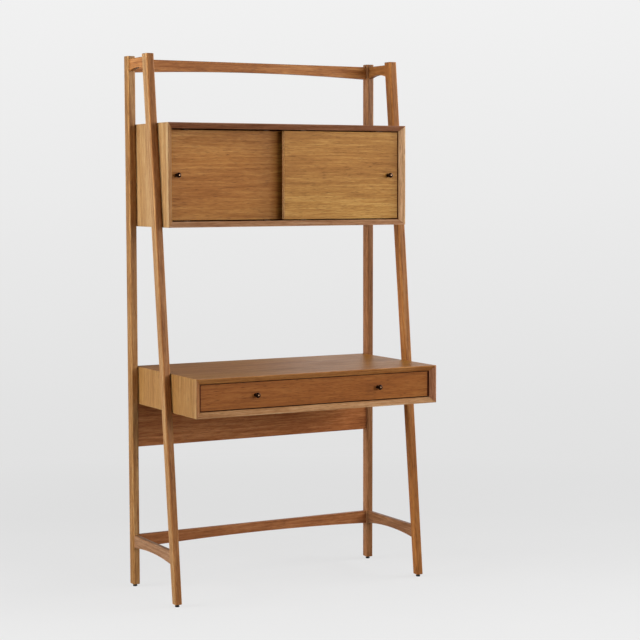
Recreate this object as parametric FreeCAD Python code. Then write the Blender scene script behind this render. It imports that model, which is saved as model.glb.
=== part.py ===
import FreeCAD, Part
import math
import os

# Wall desk: two side frames of tapered legs carry a drawer case and a cabinet with sliding doors.
# Sizes are in millimetres. X runs to the right, Y to the back and Z up. Pieces are worked out from the
# plane of the rear legs' back faces (y = 0), with the front at negative y, and are moved on saving so
# that the origin lies on the floor under the middle of the whole desk.

V = FreeCAD.Vector

# Overall sizes
frame_height = 1829.0            # floor to the tops of the legs
case_width = 914.0               # outside width of both cases
desk_reach = 506.0               # rear plane to the desk's front edge
cabinet_reach = 300.0            # rear plane to the cabinet's front edge
case_rear_gap = 3.0              # rear plane to the back edges of both cases
desk_height = 768.0              # floor to the desk's upper face
desk_case_height = 129.0
cabinet_drop = 231.0             # tops of the legs to the cabinet's upper face
cabinet_height = 347.0

# Legs
leg_foot_gap = 9.0               # floor to the ends of the legs
leg_width_top = 29.5
leg_width_foot = 25.5
rear_leg_depth = 35.0
front_leg_depth_top = 41.0
front_leg_depth_foot = 31.0
front_leg_top_reach = 172.0      # rear plane to the front leg's centre line at its top
front_leg_foot_reach = 372.0     # rear plane to the front leg's centre line at the floor
leg_corner_radius = 7.0
leg_end_easing = 1.5

# Rails and the panel between the rear legs
top_rail_drop = 9.0              # leg tops to the upper edges of the top rails
bottom_rail_height = 181.0       # floor to the upper edges of the bottom rails
rail_depth = 45.0                # height of a rail at its ends
side_rail_thickness = 17.0
side_rail_arch = 12.0            # rise of the arched underside
back_rail_thickness = 18.0
back_rail_arch = 11.0
rail_edge_round = 2.5
modesty_panel_height = 150.0
modesty_panel_thickness = 18.0
modesty_edge_round = 1.5

# Case boards
board_thickness = 19.0
front_lip = 3.0                  # flat outer part of a board's front edge
front_bevel = 16.0               # depth of the inward bevel behind the lip
back_board_thickness = 6.0
back_rebate_width = 8.0

# Glued and pressed fits, and running clearances
fit_clearance = 0.1
running_clearance = 0.3
screw_clearance = 0.06

# Dowels, bolts and inserts
dowel_radius = 4.0
dowel_in_leg = 12.0
dowel_in_rail = 18.0
rail_dowel_spacing = 20.0
modesty_dowel_spacing = 100.0
bolt_radius = 3.0
bolt_head_radius = 6.5
bolt_head_height = 3.5
bolt_in_leg = 13.0
insert_radius = 5.0
insert_length = 15.0
desk_bolt_inset = 30.0           # case's outer face to the bolt, top and bottom
cabinet_bolt_inset = 60.0

# Knobs
knob_projection = 22.0
knob_head_radius = 8.8
knob_rim_radius = 3.2            # rounding of the head's rim
knob_dome_radius = 13.0
knob_neck_radius = 5.0
knob_waist_radius = 3.8
knob_base_radius = 6.0
knob_base_height = 2.0
knob_screw_radius = 2.0
knob_screw_in_knob = 11.0
knob_screw_head_radius = 4.2
knob_screw_head_height = 2.6

# Sliding doors and their tracks
door_thickness = 18.0
door_overlap = 30.0
door_end_gap = 2.0
door_height_gap = 3.5            # door to the boards above and below
door_recess = 4.0                # inner edge of the bevel to the front door's face
door_edge_round = 1.0
door_knob_inset = 38.0           # outer end of a door to its knob
knob_pass_gap = 3.0              # rear door's knob to the back of the front door
track_wall = 2.0
track_channel_width = 6.0
track_channel_depth = 6.0
glide_inset = 75.0               # end of a door to its glides
glide_plug_radius = 4.0
glide_plug_length = 12.0
glide_blade_length = 14.0
glide_blade_width = 5.4
glide_blade_depth = 5.0
glide_shoulder_length = 20.0
glide_shoulder_width = 12.0

# Drawer and its runners
drawer_gap = 2.5                 # drawer front to the opening, all round
drawer_recess = 4.0              # inner edge of the bevel to the drawer's face
drawer_front_thickness = 18.0
drawer_front_edge_round = 1.0
drawer_knob_spacing = 466.0
drawer_box_height = 62.0
drawer_box_length = 410.0
drawer_box_lift = 9.0            # desk's inner floor to the lower edges of the drawer sides
drawer_side_thickness = 12.0
drawer_housing = 6.0             # depth of the joints in the drawer front and sides
drawer_bottom_thickness = 6.0
drawer_bottom_lift = 8.0         # lower edges of the sides to the drawer bottom
runner_space = 12.7              # desk side to drawer side
runner_height = 45.0
runner_sheet = 1.5
runner_length = 400.0
runner_front_gap = 4.0           # drawer front's back to the runner

# Levelling feet
leveller_pad_radius = 7.5
leveller_pad_height = 8.0
leveller_stud_radius = 3.0
leveller_stud_length = 30.0
leveller_insert_radius = 5.5
leveller_insert_length = 14.0
leveller_hole_spare = 3.0

# Worked out from the sizes above
half_case = case_width / 2
inner_half = half_case - board_thickness
inner_width = 2 * inner_half
case_back = -case_rear_gap
desk_floor = desk_height - desk_case_height
cabinet_roof = frame_height - cabinet_drop
cabinet_floor = cabinet_roof - cabinet_height
top_rail_height = frame_height - top_rail_drop
rear_leg_centre = -rear_leg_depth / 2
drawer_face = -desk_reach + front_bevel + drawer_recess
drawer_front_back = drawer_face + drawer_front_thickness
front_door_centre = -cabinet_reach + front_bevel + door_recess + door_thickness / 2
rear_door_centre = front_door_centre + door_thickness + knob_projection + knob_pass_gap
door_width = (inner_width - 2 * door_end_gap + door_overlap) / 2
door_bottom = cabinet_floor + board_thickness + door_height_gap
door_top = cabinet_roof - board_thickness - door_height_gap
knob_height_cabinet = (door_bottom + door_top) / 2
knob_height_drawer = desk_height - desk_case_height / 2
overall_depth = max(desk_reach, knob_projection - drawer_face)


# Small helpers

def block(x0, x1, y0, y1, z0, z1):
    """A block between two opposite corners."""
    return Part.makeBox(x1 - x0, y1 - y0, z1 - z0, V(x0, y0, z0))


def flat_face(points):
    """A flat face with the given corners."""
    return Part.Face(Part.makePolygon(points + points[:1]))


def prism(points, along):
    """A closed outline of points carried along a vector."""
    return flat_face(points).extrude(along)


def rod(radius, start, end):
    """A round bar from one point to another."""
    run = end - start
    return Part.makeCylinder(radius, run.Length, start, run)


def mirrored(shape):
    """The left-hand twin of a right-hand piece."""
    return shape.mirror(V(0, 0, 0), V(1, 0, 0))


def both_sides(solids):
    """A list of right-hand solids together with their left-hand twins."""
    return solids + [mirrored(solid) for solid in solids]


def cut(shape, tools):
    """A piece with holes, grooves or recesses taken out."""
    return shape.cut(tools).removeSplitter()


# Legs

def along_leg(at_foot, at_top, z):
    """A leg's size at height z, changing evenly from foot to top."""
    share = (z - leg_foot_gap) / (frame_height - leg_foot_gap)
    return at_foot + (at_top - at_foot) * share


def leg_width(z):
    return along_leg(leg_width_foot, leg_width_top, z)


def front_leg_depth(z):
    return along_leg(front_leg_depth_foot, front_leg_depth_top, z)


def front_leg_centre(z):
    """Place of the front leg's centre line at height z."""
    return -front_leg_foot_reach + (front_leg_foot_reach - front_leg_top_reach) * z / frame_height


def tapered_leg(depth_at, centre_at):
    """A right-hand leg: flat faces narrowing from top to foot, round corners and eased ends."""
    rings = []
    for z in (leg_foot_gap, frame_height):
        front = centre_at(z) - depth_at(z) / 2
        back = centre_at(z) + depth_at(z) / 2
        outer = half_case + leg_width(z)
        rings.append([V(half_case, front, z), V(outer, front, z), V(outer, back, z), V(half_case, back, z)])
    foot, top = rings
    faces = [flat_face(foot[::-1]), flat_face(top)]
    for here in range(len(foot)):
        following = (here + 1) % len(foot)
        faces.append(flat_face([foot[here], foot[following], top[following], top[here]]))
    leg = Part.Solid(Part.Shell(faces))
    corners = [edge for edge in leg.Edges if edge.BoundBox.ZLength > leg_corner_radius]
    leg = leg.makeFillet(leg_corner_radius, corners)
    ends = [edge for edge in leg.Edges if edge.BoundBox.ZLength < fit_clearance]
    return leg.makeFillet(leg_end_easing, ends)


def rear_leg():
    return tapered_leg(lambda z: rear_leg_depth, lambda z: rear_leg_centre)


def front_leg():
    return tapered_leg(front_leg_depth, front_leg_centre)


# Rails

def arched_rail(start, end, across, top, arch):
    """A rail with an arched underside, and a straight upper side with rounded edges."""
    low = V(0, 0, -rail_depth)
    upper = (start + V(0, 0, top), end + V(0, 0, top))
    crown = (upper[0] + upper[1]) * 0.5 + low + V(0, 0, arch)
    outline = Part.Wire([
        Part.LineSegment(upper[0], upper[1]).toShape(),
        Part.LineSegment(upper[1], upper[1] + low).toShape(),
        Part.Arc(upper[1] + low, crown, upper[0] + low).toShape(),
        Part.LineSegment(upper[0] + low, upper[0]).toShape(),
    ])
    outline.translate(across * -0.5)
    rail = Part.Face(outline).extrude(across)
    edges = level_edges(rail, end - start)
    upper_rims = [edge for edge in edges if edge.CenterOfMass.z > top - rail_edge_round]
    return rail.makeFillet(rail_edge_round, upper_rims)


def level_edges(board, along):
    """The edges of a board that run along its length, with both ends at one height."""
    found = []
    for edge in board.Edges:
        run = edge.Vertexes[-1].Point - edge.Vertexes[0].Point
        if abs(run.z) < fit_clearance and abs(run.dot(along)) > fit_clearance * along.Length:
            found.append(edge)
    return found


def side_rail(top, legs):
    """A right-hand rail between the legs of a side frame, its ends coped to the legs' round corners."""
    middle = half_case + leg_width(top - rail_depth / 2) / 2
    foot = top - rail_depth
    start = V(middle, -rear_leg_depth + leg_corner_radius, 0)
    end = V(middle, front_leg_centre(foot) + front_leg_depth(foot) / 2 - leg_corner_radius, 0)
    return cut(arched_rail(start, end, V(side_rail_thickness, 0, 0), top, side_rail_arch), legs)


def back_rail(top):
    """A long rail between the rear legs."""
    start = V(-half_case, rear_leg_centre, 0)
    end = V(half_case, rear_leg_centre, 0)
    return arched_rail(start, end, V(0, back_rail_thickness, 0), top, back_rail_arch)


def modesty_panel():
    """A board between the rear legs, standing up against the underside of the desk."""
    half = modesty_panel_thickness / 2
    board = block(-half_case, half_case, rear_leg_centre - half, rear_leg_centre + half,
                  desk_floor - modesty_panel_height, desk_floor)
    lower = [edge for edge in level_edges(board, V(1, 0, 0)) if edge.CenterOfMass.z < board.CenterOfMass.z]
    return board.makeFillet(modesty_edge_round, lower)


# Dowels between the rails and the legs

def dowel_runs():
    """Start and end of each right-hand dowel, from its end in the leg to its end in the rail."""
    runs = []
    for top in (top_rail_height, bottom_rail_height):
        middle = top - rail_depth / 2
        for z in (middle - rail_dowel_spacing / 2, middle + rail_dowel_spacing / 2):
            x = half_case + leg_width(middle) / 2
            front_of_rear = -rear_leg_depth
            back_of_front = front_leg_centre(z) + front_leg_depth(z) / 2
            runs.append((V(x, front_of_rear + dowel_in_leg, z), V(x, front_of_rear - dowel_in_rail, z)))
            runs.append((V(x, back_of_front - dowel_in_leg, z), V(x, back_of_front + dowel_in_rail, z)))
            runs.append(back_dowel_run(z))
    middle = desk_floor - modesty_panel_height / 2
    for z in (middle - modesty_dowel_spacing / 2, middle + modesty_dowel_spacing / 2):
        runs.append(back_dowel_run(z))
    return runs


def back_dowel_run(z):
    """A dowel from a rear leg into a board that lies between the rear legs."""
    in_leg = V(half_case + dowel_in_leg, rear_leg_centre, z)
    in_board = V(half_case - dowel_in_rail, rear_leg_centre, z)
    return (in_leg, in_board)


def dowels(clearance):
    """All dowels, or with a clearance the holes for them."""
    solids = []
    for start, end in dowel_runs():
        step = (end - start).normalize() * clearance
        solids.append(rod(dowel_radius + clearance, start - step, end + step))
    return both_sides(solids)


# Cases

def case_boards(front, floor, height):
    """Top, right side, bottom and left side of a case: mitred corners, front edges bevelled inwards."""
    depth = case_back - front
    section = [
        V(0, 0, 0),
        V(0, 0, -front_lip),
        V(0, front_bevel, -board_thickness),
        V(0, depth, -board_thickness),
        V(0, depth, 0),
    ]
    boards = []
    for turn, length in enumerate((case_width, height, case_width, height)):
        mitres = [
            V(-length / 2, 0, 0),
            V(length / 2, 0, 0),
            V(length / 2 - board_thickness, 0, -board_thickness),
            V(board_thickness - length / 2, 0, -board_thickness),
        ]
        bevelled = prism(section, V(length, 0, 0))
        bevelled.translate(V(-length / 2, 0, 0))
        board = bevelled.common(prism(mitres, V(0, depth, 0)))
        outward = (height if turn % 2 == 0 else case_width) / 2
        board.translate(V(0, front, outward))
        board.rotate(V(0, 0, 0), V(0, 1, 0), 90 * turn)
        board.translate(V(0, 0, floor + height / 2))
        boards.append(board)
    return boards


def back_board(floor, height, clearance):
    """A thin back in the rebates of a case, or with a clearance the rebates themselves."""
    half_width = inner_half + back_rebate_width - fit_clearance + clearance
    low = floor + board_thickness - back_rebate_width + fit_clearance - clearance
    high = floor + height - board_thickness + back_rebate_width - fit_clearance + clearance
    return block(-half_width, half_width, case_back - back_board_thickness, case_back, low, high)


# Bolts through the case sides into threaded inserts in the legs

def bolt_places():
    """Depth and height of each bolt on a right-hand side."""
    places = []
    for floor, height, inset in (
        (desk_floor, desk_case_height, desk_bolt_inset),
        (cabinet_floor, cabinet_height, cabinet_bolt_inset),
    ):
        for z in (floor + inset, floor + height - inset):
            places.append((rear_leg_centre, z))
            places.append((front_leg_centre(z), z))
    return places


def case_bolts(clearance):
    """Flat-headed bolts with their heads let into the case sides, or the holes for them."""
    solids = []
    for y, z in bolt_places():
        face = V(inner_half, y, z)
        shoulder = V(inner_half + bolt_head_height + clearance, y, z)
        head = rod(bolt_head_radius + clearance, face, shoulder)
        shank = rod(bolt_radius + clearance, face, V(half_case + bolt_in_leg, y, z))
        solids.append(head.fuse(shank).removeSplitter())
    return both_sides(solids)


def leg_inserts():
    """Threaded inserts in the inner faces of the legs."""
    solids = []
    for y, z in bolt_places():
        sleeve = rod(insert_radius, V(half_case, y, z), V(half_case + insert_length, y, z))
        bore = rod(bolt_radius + screw_clearance, V(half_case, y, z), V(half_case + insert_length, y, z))
        solids.append(sleeve.cut(bore))
    return both_sides(solids)


def insert_holes():
    """Holes in the legs for the inserts."""
    reach = half_case + insert_length + fit_clearance
    return both_sides([
        rod(insert_radius + fit_clearance, V(half_case, y, z), V(reach, y, z)) for y, z in bolt_places()
    ])


# Knobs

def turned(outline, centre, outward):
    """A turned piece: a closed outline of edges in radius and height, revolved and stood on a face."""
    solid = Part.Face(Part.Wire(outline)).revolve(V(0, 0, 0), V(0, 0, 1), 360)
    solid.Placement = FreeCAD.Placement(centre, FreeCAD.Rotation(V(0, 0, 1), outward))
    return solid


def knob(face):
    """A small turned knob: round base, waisted stem, and a head whose round rim runs into a dome."""
    rim_centre = knob_head_radius - knob_rim_radius
    dome_centre = knob_projection - knob_dome_radius
    lean = math.asin(rim_centre / (knob_dome_radius - knob_rim_radius))
    rim = dome_centre + (knob_dome_radius - knob_rim_radius) * math.cos(lean)
    neck = rim - math.sqrt(knob_rim_radius ** 2 - (knob_neck_radius - rim_centre) ** 2)
    base = V(knob_base_radius, 0, knob_base_height)
    waist = V(knob_waist_radius, 0, (knob_base_height + neck) / 2)
    under = V(knob_neck_radius, 0, neck)
    tip = V(0, 0, knob_projection)
    dome_edge = on_dome(dome_centre, lean)
    bore = knob_screw_radius + fit_clearance
    bore_end = knob_screw_in_knob + fit_clearance
    outline = [
        Part.LineSegment(V(bore, 0, 0), V(knob_base_radius, 0, 0)).toShape(),
        Part.LineSegment(V(knob_base_radius, 0, 0), base).toShape(),
        Part.Arc(base, waist, under).toShape(),
        Part.Arc(under, V(knob_head_radius, 0, rim), dome_edge).toShape(),
        Part.Arc(dome_edge, on_dome(dome_centre, lean / 2), tip).toShape(),
        Part.LineSegment(tip, V(0, 0, bore_end)).toShape(),
        Part.LineSegment(V(0, 0, bore_end), V(bore, 0, bore_end)).toShape(),
        Part.LineSegment(V(bore, 0, bore_end), V(bore, 0, 0)).toShape(),
    ]
    return turned(outline, face, V(0, -1, 0))


def on_dome(centre, lean):
    """A point of the knob's dome, at an angle from its tip."""
    return V(knob_dome_radius * math.sin(lean), 0, centre + knob_dome_radius * math.cos(lean))


def knob_screw(face, thickness, clearance):
    """A screw from the back of a board into its knob, or with a clearance the hole for it."""
    back = face + V(0, thickness, 0)
    head = rod(knob_screw_head_radius + clearance, back - V(0, knob_screw_head_height + clearance, 0), back)
    shank = rod(knob_screw_radius + clearance, back, face - V(0, knob_screw_in_knob, 0))
    return head.fuse(shank).removeSplitter()


# Sliding doors

def door_track(centre, face, up):
    """A channel for a door, let into a board of the cabinet flush with its inner face."""
    outer = track_channel_width / 2 + track_wall
    inner = track_channel_width / 2
    depth = -up * track_channel_depth
    base = -up * (track_channel_depth + track_wall)
    section = [
        V(-inner_half, centre - outer, face),
        V(-inner_half, centre - inner, face),
        V(-inner_half, centre - inner, face + depth),
        V(-inner_half, centre + inner, face + depth),
        V(-inner_half, centre + inner, face),
        V(-inner_half, centre + outer, face),
        V(-inner_half, centre + outer, face + base),
        V(-inner_half, centre - outer, face + base),
    ]
    return prism(section, V(inner_width, 0, 0))


def track_groove(centre, face, up):
    """The groove that a door track lies in."""
    half = track_channel_width / 2 + track_wall + fit_clearance
    far = face - up * (track_channel_depth + track_wall + fit_clearance)
    return block(-inner_half, inner_half, centre - half, centre + half, min(face, far), max(face, far))


def glide(x, centre, edge, face, up):
    """A plastic glide: plug in the door's edge, shoulder in the gap and blade in the track."""
    plug = rod(glide_plug_radius, V(x, centre, edge), V(x, centre, edge + up * glide_plug_length))
    rest = face + up * running_clearance
    tip = face - up * glide_blade_depth
    shoulder = block(x - glide_shoulder_length / 2, x + glide_shoulder_length / 2,
                     centre - glide_shoulder_width / 2, centre + glide_shoulder_width / 2,
                     min(rest, edge), max(rest, edge))
    blade = block(x - glide_blade_length / 2, x + glide_blade_length / 2,
                  centre - glide_blade_width / 2, centre + glide_blade_width / 2,
                  min(tip, edge), max(tip, edge))
    return plug.fuse([shoulder, blade]).removeSplitter()


def glide_hole(x, centre, edge, up):
    """The hole for a glide's plug in the edge of a door."""
    end = V(x, centre, edge + up * (glide_plug_length + fit_clearance))
    return rod(glide_plug_radius + fit_clearance, V(x, centre, edge), end)


def sliding_door(name, side, centre):
    """One door with its knob, screw and glides; side is +1 on the right and -1 on the left."""
    outer = side * (inner_half - door_end_gap)
    ends = sorted((outer, outer - side * door_width))
    face = centre - door_thickness / 2
    grip = V(outer - side * door_knob_inset, face, knob_height_cabinet)
    board = block(ends[0], ends[1], face, face + door_thickness, door_bottom, door_top)
    front_edges = [edge for edge in board.Edges if abs(edge.CenterOfMass.y - face) < fit_clearance]
    board = board.makeFillet(door_edge_round, front_edges)
    edges = (
        (door_bottom, cabinet_floor + board_thickness, 1),
        (door_top, cabinet_roof - board_thickness, -1),
    )
    holes = [knob_screw(grip, door_thickness, fit_clearance)]
    glides = []
    for edge, board_face, up in edges:
        for x in (ends[0] + glide_inset, ends[1] - glide_inset):
            holes.append(glide_hole(x, centre, edge, up))
            glides.append(glide(x, centre, edge, board_face, up))
    return {
        name: cut(board, holes),
        name + "_knob": knob(grip),
        name + "_knob_screw": knob_screw(grip, door_thickness, 0),
        name + "_glides": Part.makeCompound(glides),
    }


# Drawer

def drawer_knob_faces():
    return [V(side * drawer_knob_spacing / 2, drawer_face, knob_height_drawer) for side in (-1, 1)]


def drawer_box_levels():
    """Heights of the drawer box: side edges and the two faces of the bottom."""
    low = desk_floor + board_thickness + drawer_box_lift
    bottom = low + drawer_bottom_lift
    return low, low + drawer_box_height, bottom, bottom + drawer_bottom_thickness


def drawer_side(clearance):
    """The right-hand side of the drawer box, its front end housed in the drawer front."""
    low, high, _, _ = drawer_box_levels()
    outer = inner_half - runner_space
    return block(outer - drawer_side_thickness - clearance, outer + clearance,
                 drawer_front_back - drawer_housing - clearance, drawer_front_back + drawer_box_length,
                 low - clearance, high + clearance)


def drawer_bottom(clearance):
    """The drawer bottom, in grooves of the front and the sides and under the back."""
    _, _, under, over = drawer_box_levels()
    half = inner_half - runner_space - drawer_side_thickness + drawer_housing - fit_clearance
    return block(-half - clearance, half + clearance,
                 drawer_front_back - drawer_housing + fit_clearance - clearance,
                 drawer_front_back + drawer_box_length, under - clearance, over + clearance)


def drawer_back(clearance):
    """The drawer back, standing on the bottom with its ends housed in the sides."""
    _, high, _, over = drawer_box_levels()
    half = inner_half - runner_space - drawer_side_thickness + drawer_housing - fit_clearance
    rear = drawer_front_back + drawer_box_length - drawer_side_thickness
    return block(-half - clearance, half + clearance,
                 rear - drawer_side_thickness - clearance, rear + clearance, over + clearance, high)


def drawer_front():
    """The wide inset drawer front, grooved at the back and drilled for the knobs."""
    low = desk_floor + board_thickness + drawer_gap
    high = desk_height - board_thickness - drawer_gap
    half = inner_half - drawer_gap
    board = block(-half, half, drawer_face, drawer_front_back, low, high)
    front_edges = [edge for edge in board.Edges if abs(edge.CenterOfMass.y - drawer_face) < fit_clearance]
    board = board.makeFillet(drawer_front_edge_round, front_edges)
    screws = [knob_screw(face, drawer_front_thickness, fit_clearance) for face in drawer_knob_faces()]
    return cut(board, both_sides([drawer_side(fit_clearance)]) + [drawer_bottom(fit_clearance)] + screws)


def drawer_pieces():
    """The drawer front and box with their knobs and screws."""
    side = cut(drawer_side(0), [drawer_bottom(fit_clearance), drawer_back(fit_clearance)])
    screws = [knob_screw(face, drawer_front_thickness, 0) for face in drawer_knob_faces()]
    left, right = drawer_knob_faces()
    return {
        "drawer_front": drawer_front(),
        "drawer_side_right": side,
        "drawer_side_left": mirrored(side),
        "drawer_back": drawer_back(0),
        "drawer_bottom": drawer_bottom(0),
        "drawer_knob_left": knob(left),
        "drawer_knob_right": knob(right),
        "drawer_knob_screws": Part.makeCompound(screws),
    }


def runner_member(web, flange, half_height):
    """A right-hand runner member: a folded channel with its web and flange ends at given distances from
    the desk side."""
    inward = 1 if flange > web else -1
    inside = web + inward * runner_sheet
    low, high, _, _ = drawer_box_levels()
    middle = (low + high) / 2
    front = drawer_front_back + runner_front_gap
    section = [
        (web, -half_height),
        (flange, -half_height),
        (flange, runner_sheet - half_height),
        (inside, runner_sheet - half_height),
        (inside, half_height - runner_sheet),
        (flange, half_height - runner_sheet),
        (flange, half_height),
        (web, half_height),
    ]
    points = [V(inner_half - away, front, middle + rise) for away, rise in section]
    return prism(points, V(0, runner_length, 0))


def runner_pieces():
    """Three nested channels on each side: one on the desk, one floating and one on the drawer."""
    step = runner_sheet + running_clearance
    half = runner_height / 2
    members = {
        "runner_outer": runner_member(0, runner_space - runner_sheet - running_clearance, half),
        "runner_middle": runner_member(step, runner_space - step, half - step),
        "runner_inner": runner_member(runner_space, 2 * step, half - 2 * step),
    }
    pieces = {}
    for name, member in members.items():
        pieces[name + "_right"] = member
        pieces[name + "_left"] = mirrored(member)
    return pieces


# Levelling feet

def leveller_places():
    """Centre of each right-hand foot on the floor."""
    x = half_case + leg_width_foot / 2
    return {"rear": V(x, rear_leg_centre, 0), "front": V(x, front_leg_centre(leg_foot_gap), 0)}


def leveller(place):
    """A levelling foot: a round pad with a sloping upper rim, and a stud."""
    shoulder = leveller_pad_height / 2
    rim = V(leveller_insert_radius, 0, leveller_pad_height)
    outline = [
        Part.LineSegment(V(0, 0, 0), V(leveller_pad_radius, 0, 0)).toShape(),
        Part.LineSegment(V(leveller_pad_radius, 0, 0), V(leveller_pad_radius, 0, shoulder)).toShape(),
        Part.LineSegment(V(leveller_pad_radius, 0, shoulder), rim).toShape(),
        Part.LineSegment(rim, V(0, 0, leveller_pad_height)).toShape(),
        Part.LineSegment(V(0, 0, leveller_pad_height), V(0, 0, 0)).toShape(),
    ]
    stud_top = V(0, 0, leveller_pad_height + leveller_stud_length)
    stud = rod(leveller_stud_radius, place + V(0, 0, shoulder), place + stud_top)
    return turned(outline, place, V(0, 0, 1)).fuse(stud).removeSplitter()


def leveller_inserts():
    """Threaded inserts in the ends of the legs."""
    solids = []
    for place in leveller_places().values():
        start = place + V(0, 0, leg_foot_gap)
        end = start + V(0, 0, leveller_insert_length)
        solids.append(rod(leveller_insert_radius, start, end).cut(
            rod(leveller_stud_radius + screw_clearance, start, end)))
    return both_sides(solids)


def leveller_holes():
    """Holes in the legs for the inserts, with room above them for the studs."""
    solids = []
    for place in leveller_places().values():
        start = place + V(0, 0, leg_foot_gap)
        seat = start + V(0, 0, leveller_insert_length + fit_clearance)
        top = place + V(0, 0, leveller_pad_height + leveller_stud_length + leveller_hole_spare)
        sleeve = rod(leveller_insert_radius + fit_clearance, start, seat)
        solids.append(sleeve.fuse(rod(leveller_stud_radius + fit_clearance, start, top)).removeSplitter())
    return both_sides(solids)


# Assembly

def frame_pieces():
    """Legs, rails, modesty panel and what holds them together."""
    legs = {"rear_leg": rear_leg(), "front_leg": front_leg()}
    rails = {
        "top_side_rail": side_rail(top_rail_height, list(legs.values())),
        "bottom_side_rail": side_rail(bottom_rail_height, list(legs.values())),
    }
    boards = {
        "top_back_rail": back_rail(top_rail_height),
        "bottom_back_rail": back_rail(bottom_rail_height),
        "modesty_panel": modesty_panel(),
    }
    dowel_holes = dowels(fit_clearance)
    leg_holes = dowel_holes + insert_holes() + leveller_holes()
    pieces = {}
    for name, leg in legs.items():
        pieces[name + "_right"] = cut(leg, leg_holes)
    for name, rail in rails.items():
        pieces[name + "_right"] = cut(rail, dowel_holes)
    for name in list(pieces):
        pieces[name.replace("_right", "_left")] = mirrored(pieces[name])
    for name, board in boards.items():
        pieces[name] = cut(board, dowel_holes)
    pieces["frame_dowels"] = Part.makeCompound(dowels(0))
    pieces["case_bolts"] = Part.makeCompound(case_bolts(0))
    pieces["leg_inserts"] = Part.makeCompound(leg_inserts())
    pieces["leveller_inserts"] = Part.makeCompound(leveller_inserts())
    for name, place in leveller_places().items():
        pieces["leveller_" + name + "_right"] = leveller(place)
        pieces["leveller_" + name + "_left"] = mirrored(leveller(place))
    return pieces


def case_pieces(name, front, floor, height):
    """The boards and back of one case, drilled for the bolts."""
    taken = case_bolts(fit_clearance) + [back_board(floor, height, fit_clearance)]
    sides = ("_top", "_side_right", "_bottom", "_side_left")
    pieces = {}
    for side, board in zip(sides, case_boards(front, floor, height)):
        pieces[name + side] = cut(board, taken)
    pieces[name + "_back"] = back_board(floor, height, 0)
    return pieces


def cabinet_pieces():
    """The cabinet, its door tracks and both doors."""
    pieces = case_pieces("cabinet", -cabinet_reach, cabinet_floor, cabinet_height)
    levels = (
        ("upper", "cabinet_top", cabinet_roof - board_thickness, -1),
        ("lower", "cabinet_bottom", cabinet_floor + board_thickness, 1),
    )
    for level, board, face, up in levels:
        for place, centre in (("front", front_door_centre), ("rear", rear_door_centre)):
            pieces[board] = cut(pieces[board], [track_groove(centre, face, up)])
            pieces[level + "_" + place + "_track"] = door_track(centre, face, up)
    pieces.update(sliding_door("door_right", 1, front_door_centre))
    pieces.update(sliding_door("door_left", -1, rear_door_centre))
    return pieces


def desk_pieces():
    """The desk case with its drawer and runners."""
    pieces = case_pieces("desk", -desk_reach, desk_floor, desk_case_height)
    pieces.update(drawer_pieces())
    pieces.update(runner_pieces())
    return pieces


def save(pieces):
    """Moves the pieces to the desk's own origin and writes one file for each."""
    os.makedirs("parts", exist_ok=True)
    for name, shape in pieces.items():
        placed = shape.copy()
        placed.translate(V(0, overall_depth / 2, 0))
        placed.exportStep("parts/" + name + ".step")


save({**frame_pieces(), **cabinet_pieces(), **desk_pieces()})
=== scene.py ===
"""Looks of the wall desk: satin stained wood, dark bronze knobs, runner steel and a pale studio."""

import math

import bpy
import numpy as np
from mathutils import Matrix, Vector


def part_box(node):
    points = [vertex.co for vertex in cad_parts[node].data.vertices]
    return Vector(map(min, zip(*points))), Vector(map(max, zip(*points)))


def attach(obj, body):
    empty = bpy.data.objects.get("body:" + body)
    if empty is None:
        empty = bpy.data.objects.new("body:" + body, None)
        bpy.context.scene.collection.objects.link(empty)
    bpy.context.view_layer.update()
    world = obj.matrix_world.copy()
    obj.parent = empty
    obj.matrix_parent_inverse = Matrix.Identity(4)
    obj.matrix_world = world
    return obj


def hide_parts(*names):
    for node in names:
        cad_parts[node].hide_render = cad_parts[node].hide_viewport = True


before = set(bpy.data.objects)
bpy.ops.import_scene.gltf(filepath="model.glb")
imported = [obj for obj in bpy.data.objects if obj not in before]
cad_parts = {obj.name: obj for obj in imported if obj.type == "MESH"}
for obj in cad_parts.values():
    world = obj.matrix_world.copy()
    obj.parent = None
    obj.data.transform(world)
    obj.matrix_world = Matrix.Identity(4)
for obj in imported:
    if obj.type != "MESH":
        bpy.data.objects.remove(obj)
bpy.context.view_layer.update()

LEFT, RIGHT = (-1, 0, 0), (1, 0, 0)
FRONT, BACK = (0, -1, 0), (0, 1, 0)
DOWN, UP = (0, 0, -1), (0, 0, 1)

# Camera, fitted to the photograph: place in metres, turns in degrees, focal length in pixels of the frame.
CAMERA_PLACE = (-2.8531, -5.40228, 1.39068)
CAMERA_YAW = -28.963
CAMERA_PITCH = 4.351
CAMERA_ROLL = -0.102
CAMERA_FOCAL = 1773.125
FRAME_PIXELS = 640
SENSOR_WIDTH = 36.0

# How a board's grain is turned onto the pattern's long axis, in degrees about x, y and z.
FRONT_LEG_LEAN = 6.24
GRAIN_TURN = {
    "across": (0, 0, 0),
    "front_to_back": (0, 0, -90),
    "upright": (0, 90, 0),
    "leaning": (FRONT_LEG_LEAN, 90, 0),
}


def tone(red, green, blue):
    """A colour as a screen shows it, 0 to 255, turned into the linear colour that a shader takes."""
    parts = np.array([red, green, blue]) / 255
    linear = np.where(parts <= 0.04045, parts / 12.92, ((parts + 0.055) / 1.055) ** 2.4)
    return (*(float(part) for part in linear), 1.0)


def grey(level):
    """A neutral grey, 0 to 255."""
    return tone(level, level, level)


def tinted(colour, tint):
    """A colour with its red, green and blue each taken times a share."""
    return (colour[0] * tint[0], colour[1] * tint[1], colour[2] * tint[2], 1.0)


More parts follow.
